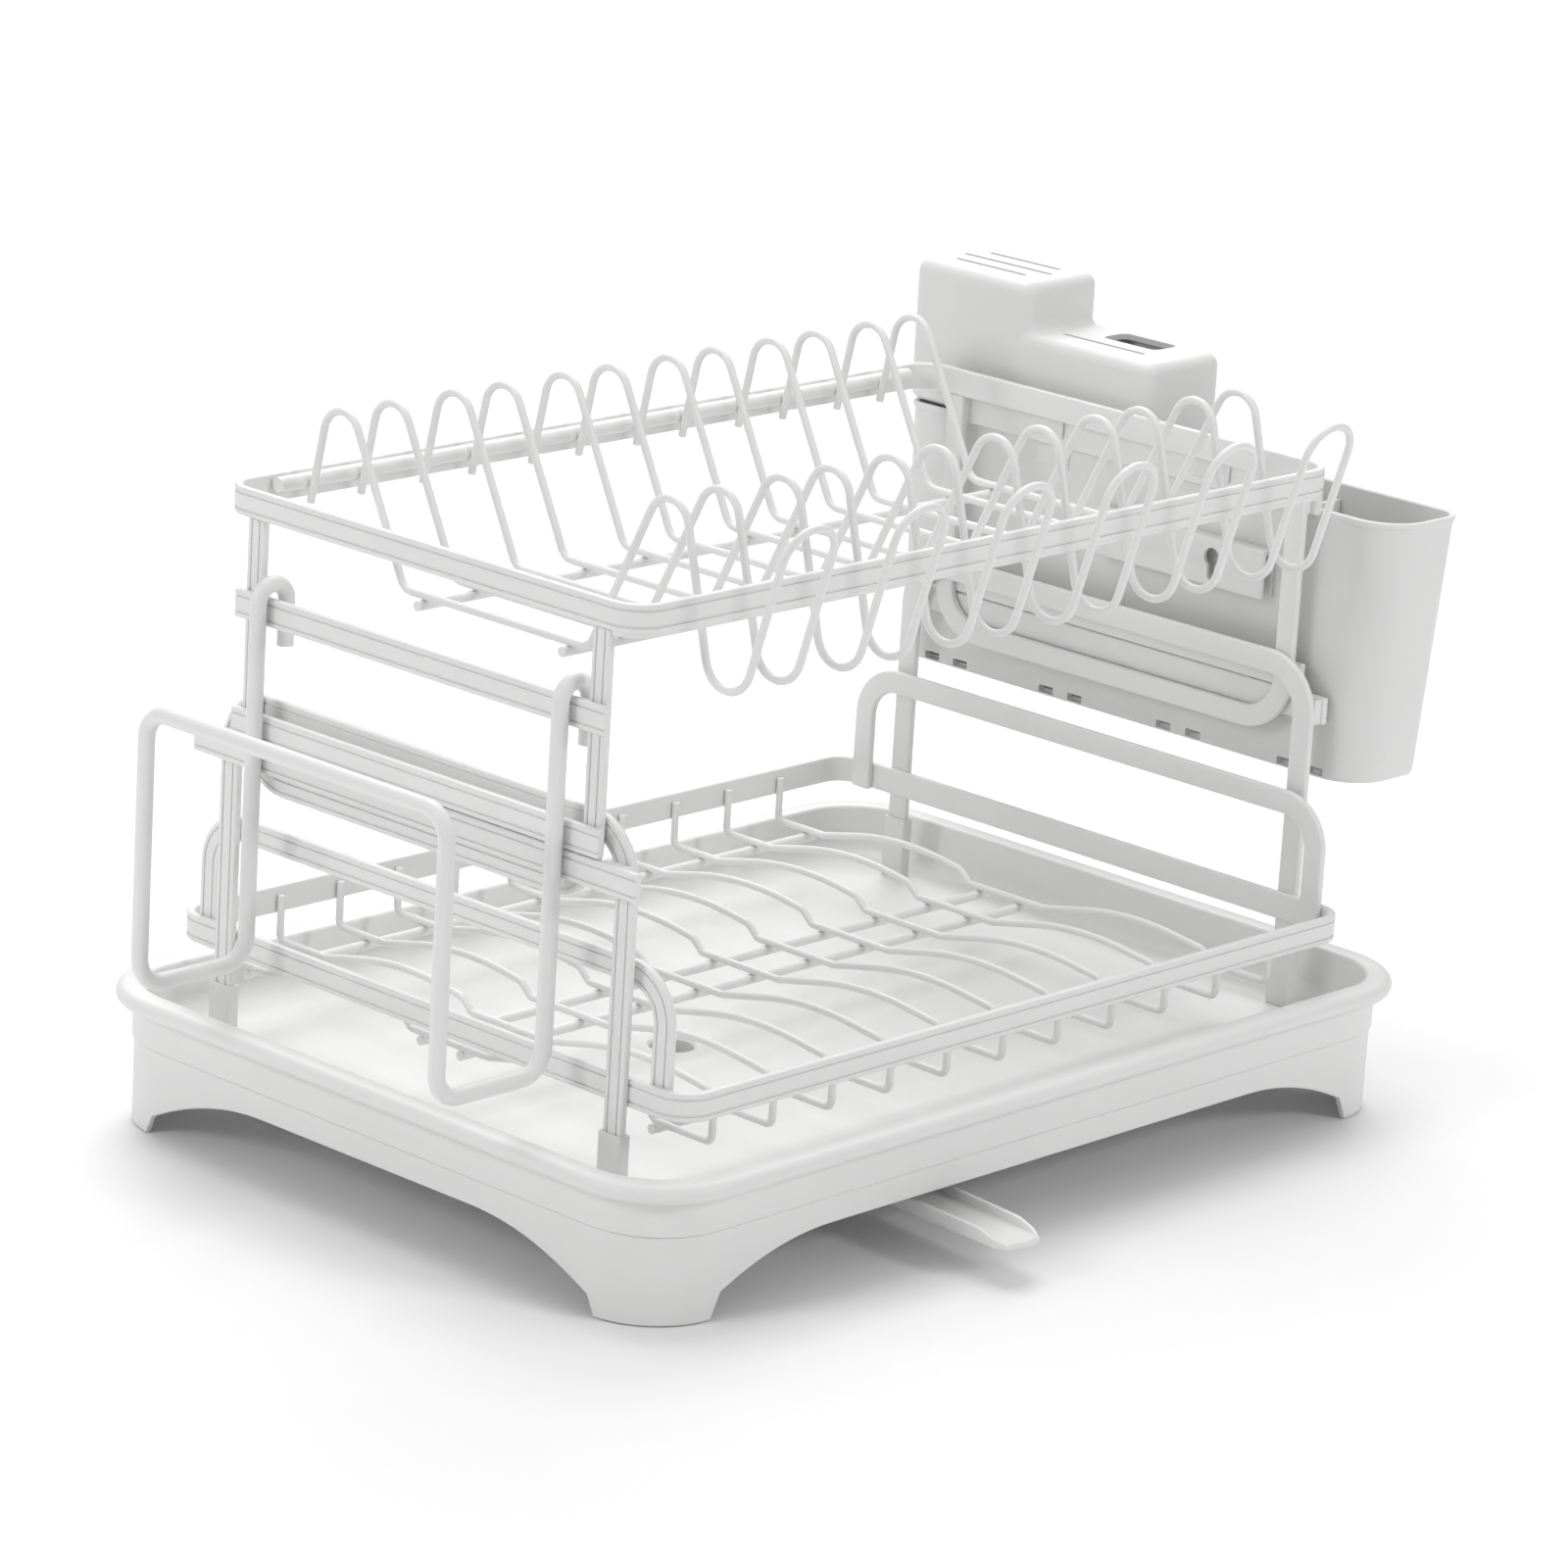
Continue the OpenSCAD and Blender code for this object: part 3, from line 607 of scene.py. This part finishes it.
for row in ("front", "back"):
    for word in ("left", "right"):
        node = f"foot_cap_{row}_{word}"
        low, high = [Vector(c) * 1000 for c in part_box(node)]
        middle = (low + high) / 2
        half_x, half_y = (high.x - low.x) / 2, (high.y - low.y) / 2
        skin = [(0.6, low.z), (0.15, low.z + 0.2), (0.0, low.z + 0.6), (0.0, high.z - 0.5),
                (0.1, high.z - 0.15), (0.45, high.z), (0.8, high.z - 0.1), (1.12, high.z - 0.4),
                (1.12, high.z - 4.0)]
        leg_foot = Vector((middle.x, middle.y, 0))
        rings = [[p + leg_foot for p in boot_ring(half_x - inset, half_y - inset,
                                                  max(1.0 - inset * 0.6, 0.3), z)]
                 for inset, z in skin]
        boot = lofted(f"leg_boot_{row}_{word}", rings, closed=False, caps=True)
        finish_piece(boot, holder_plastic, 40)
        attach(boot, "lower_tier")
        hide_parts(node)

# Utensil holder: a deep moulded cup with a rolled rim, a wide bend at its front and slightly
# tapering walls. Drain notches are cut along the foot of its inner wall.
holder_in_x, holder_out_x = 203.0, 249.0
holder_front, holder_back = -137.0, 130.0
holder_low, holder_top = 129.0, 239.5
front_lean, back_lean, outer_lean = 9.0, 2.0, 0.8


def holder_ring(inset, height):
    """Outline of the cup. Its front, outer and back walls lean in towards the foot."""
    lean = (holder_top - height) / (holder_top - holder_low)
    x0, x1 = holder_in_x + inset, holder_out_x - inset - outer_lean * lean
    y0, y1 = holder_front + inset + front_lean * lean, holder_back - inset - back_lean * lean
    ring = []
    for quarter, (cx, cy, size) in enumerate(((x1, y1, 10), (x0, y1, 10), (x0, y0, 20), (x1, y0, 11))):
        size = max(size - inset, 1.0)
        hand_x = 1 if quarter in (0, 3) else -1
        hand_y = 1 if quarter < 2 else -1
        for turn in arc_steps(quarter * 90, quarter * 90 + 90, 12):
            ring.append(Vector((cx - hand_x * size + size * math.cos(turn),
                                cy - hand_y * size + size * math.sin(turn), height)))
    return ring


holder_skin = [(2.4, 129.0), (1.4, 129.3), (0.9, 130.2), (0.8, 131.5), (0.8, 160), (0.8, 200),
               (0.8, 236.6), (0.5, 236.9), (0.1, 237.3), (0.0, 238.0), (0.1, 238.9), (0.6, 239.4),
               (1.3, 239.5), (2.0, 239.4),
               (2.5, 238.9), (2.6, 238.0), (2.6, 200), (2.6, 140), (3.0, 133.0), (4.0, 131.4), (5.5, 131.0)]
cup = lofted("holder_cup", [holder_ring(i, z) for i, z in holder_skin], closed=False, caps=True)


def block_between(name, low, high, ease, steps=3):
    """Rounded block between two corners, in mm."""
    low, high = Vector(low), Vector(high)
    size = high - low
    work = bmesh.new()
    bmesh.ops.create_cube(work, size=1.0)
    for v in work.verts:
        v.co = Vector([l + s * (c + 0.5) for l, s, c in zip(low, size, v.co)]) / 1000
    bmesh.ops.bevel(work, geom=work.edges[:], offset=ease / 1000, segments=steps, profile=0.5,
                    affect="EDGES", clamp_overlap=True)
    mesh = bpy.data.meshes.new(name)
    work.to_mesh(mesh)
    work.free()
    obj = bpy.data.objects.new(name, mesh)
    bpy.context.scene.collection.objects.link(obj)
    return obj


def cut_from(obj, cutters):
    for cutter in cutters:
        saw = obj.modifiers.new("cut", "BOOLEAN")
        saw.operation = "DIFFERENCE"
        saw.solver = "EXACT"
        saw.object = cutter
    baked(obj)
    for cutter in cutters:
        bpy.data.objects.remove(cutter)


notches = [block_between("notch", (200, y + s * 8 - 4, 130.2), (207.5, y + s * 8 + 4, 133.4), 0.4, 1)
           for y in (-98, -33, 32, 97) for s in (-1, 1)]
cut_from(cup, notches)
finish_piece(cup, holder_plastic, 32)
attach(cup, "holder")
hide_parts("utensil_holder")

# Holder hooks: two moulded hooks on the inner wall that drop behind the right-hand bar.
for word, hook_y in (("front", -45.0), ("back", 45.0)):
    for part, low, high in (("stem", (203.0, hook_y - 9, 227.5), (204.8, hook_y + 9, 250.4)),
                            ("top", (197.5, hook_y - 9, 248.8), (204.5, hook_y + 9, 250.4)),
                            ("lip", (197.5, hook_y - 9, 241.4), (198.9, hook_y + 9, 250.3))):
        hook = block_between(f"hook_{part}_{word}", low, high, 0.4)
        finish_piece(hook, holder_plastic)
        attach(hook, "holder")

# Divider and bracket: a thin partition near the front of the cup, and a hollow channel on its
# inner wall with a keyhole for hanging it on a screw instead.
divider = block_between("cup_divider", (205.7, -75, 131.05), (246.2, -73.2, 233.0), 0.5)
finish_piece(divider, holder_plastic)
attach(divider, "holder")
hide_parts("holder_divider")
bracket = block_between("keyhole_bracket", (196, -77, 198), (203.7, 13, 218), 0.5)


def keyhole_cutter(centre_y, centre_z):
    rings = []
    for x in (194, 199):
        ring = [Vector((x, centre_y + 4 * math.cos(t), centre_z + 4 * math.sin(t)))
                for t in arc_steps(-60, 240, 20)]
        ring += [Vector((x, centre_y + 1.7 * math.cos(t), centre_z - 8 + 1.7 * math.sin(t)))
                 for t in arc_steps(-180, 0, 10)]
        rings.append(ring)
    return lofted("keyhole", rings, closed=False, caps=True)


cut_from(bracket, [block_between("channel", (197.7, -80, 190), (202.0, 20, 216.2), 0.2, 1),
                   keyhole_cutter(-50, 210)])
finish_piece(bracket, holder_plastic)
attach(bracket, "holder")
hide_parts("holder_bracket")

# Knife block: a stepped hollow moulding with softly rounded edges that stands in the cup. Three
# slots in its high step and one in its low step take knives, and the wide opening scissors.
step_points = [(-5, 239.7), (129, 239.7), (129, 301), (64.5, 301), (64.5, 280), (-5, 280)]
block_rings = [[Vector((x, y, z)) for y, z in step_points] for x in (203.0, 249.0)]
knife_block = lofted("stepped_block", block_rings, closed=False, caps=True)
soft = knife_block.modifiers.new("round", "BEVEL")
soft.width = 0.0055
soft.segments = 6
soft.limit_method = "ANGLE"
soft.angle_limit = math.radians(30)
baked(knife_block)
saws = [block_between("hollow", (206.0, -2, 236), (246.0, 61.5, 277.6), 2, 2),
        block_between("hollow", (206.0, 67.5, 236), (246.0, 126, 298.6), 2, 2),
        block_between("slot", (215.3, 78.1, 290), (217.5, 117.1, 305), 0.6, 2),
        block_between("slot", (226.1, 73.1, 290), (228.3, 122.1, 305), 0.6, 2),
        block_between("slot", (236.9, 78.1, 290), (239.1, 117.1, 305), 0.6, 2),
        block_between("slot", (216.5, 11.5, 270), (218.7, 56.0, 285), 0.6, 2),
        block_between("scissors", (227.0, 14.0, 270), (242.0, 43.0, 285), 3.0, 4),
        block_between("recess", (200, 34, 238), (205.4, 56, 251.5), 0.3, 1)]
cut_from(knife_block, saws)
finish_piece(knife_block, holder_plastic, 30)
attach(knife_block, "block")
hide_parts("knife_block")

# Studio: a pale floor that fades into a bright background, with soft lights above, to the
# left and in front, as for a catalogue picture.
floor_size = 6.0
floor = new_piece("studio_floor", [(-floor_size, -floor_size, -0.0005), (floor_size, -floor_size, -0.0005),
                                   (floor_size, floor_size, -0.0005), (-floor_size, floor_size, -0.0005)],
                  [(0, 1, 2, 3)])
paper = coat_shader("studio_paper", (0.9, 0.9, 0.9), roughness=0.8, peel=200.0, peel_depth=0.0001,
                    mottling=0.01)
floor.data.materials.append(paper)


def soft_light(name, place, aim, size, power):
    lamp = bpy.data.lights.new(name, "AREA")
    lamp.shape = "RECTANGLE"
    lamp.size, lamp.size_y = size
    lamp.energy = power
    obj = bpy.data.objects.new(name, lamp)
    obj.location = place
    obj.rotation_euler = (Vector(aim) - Vector(place)).to_track_quat("-Z", "Y").to_euler()
    bpy.context.scene.collection.objects.link(obj)


soft_light("overhead", (0.1, 0.4, 1.9), (0, 0, 0.1), (1.2, 1.2), 15.0)
soft_light("left_box", (-1.9, 0.3, 1.1), (0, 0, 0.12), (0.6, 0.6), 9.0)
soft_light("front_box", (0.5, -1.9, 1.1), (0, 0, 0.12), (0.4, 0.4), 9.0)
soft_light("backdrop_light", (2.6, 2.6, 3.0), (2.4, 2.4, 0), (3.0, 3.0), 110.0)
world = bpy.data.worlds.new("bright_room")
bpy.context.scene.world = world
world.use_nodes = True
world.node_tree.nodes["Background"].inputs["Color"].default_value = (1.0, 1.0, 1.0, 1.0)
world.node_tree.nodes["Background"].inputs["Strength"].default_value = 0.48
bpy.context.scene.view_settings.view_transform = "Standard"

# Camera: far back with a long lens, looking slightly down at the front left corner.
turn, rise, tilt = math.radians(47.032), math.radians(16.327), math.radians(3.463)
away = Vector((-math.sin(turn) * math.cos(rise), -math.cos(turn) * math.cos(rise), math.sin(rise)))
right = (-away).cross(Vector((0, 0, 1))).normalized()
above = right.cross(-away)
right, above = (math.cos(tilt) * right + math.sin(tilt) * above,
                -math.sin(tilt) * right + math.cos(tilt) * above)
lens = bpy.data.cameras.new("long_lens")
lens.sensor_width = 36.0
lens.lens = 146.5
lens.shift_x = 0.0038
lens.shift_y = 0.0046
lens.clip_end = 30.0
camera = bpy.data.objects.new("camera", lens)
camera.matrix_world = Matrix.Translation((-1.7640, -1.6431, 0.8382)) @ Matrix(
    (right, above, away)).transposed().to_4x4()
bpy.context.scene.collection.objects.link(camera)
bpy.context.scene.camera = camera
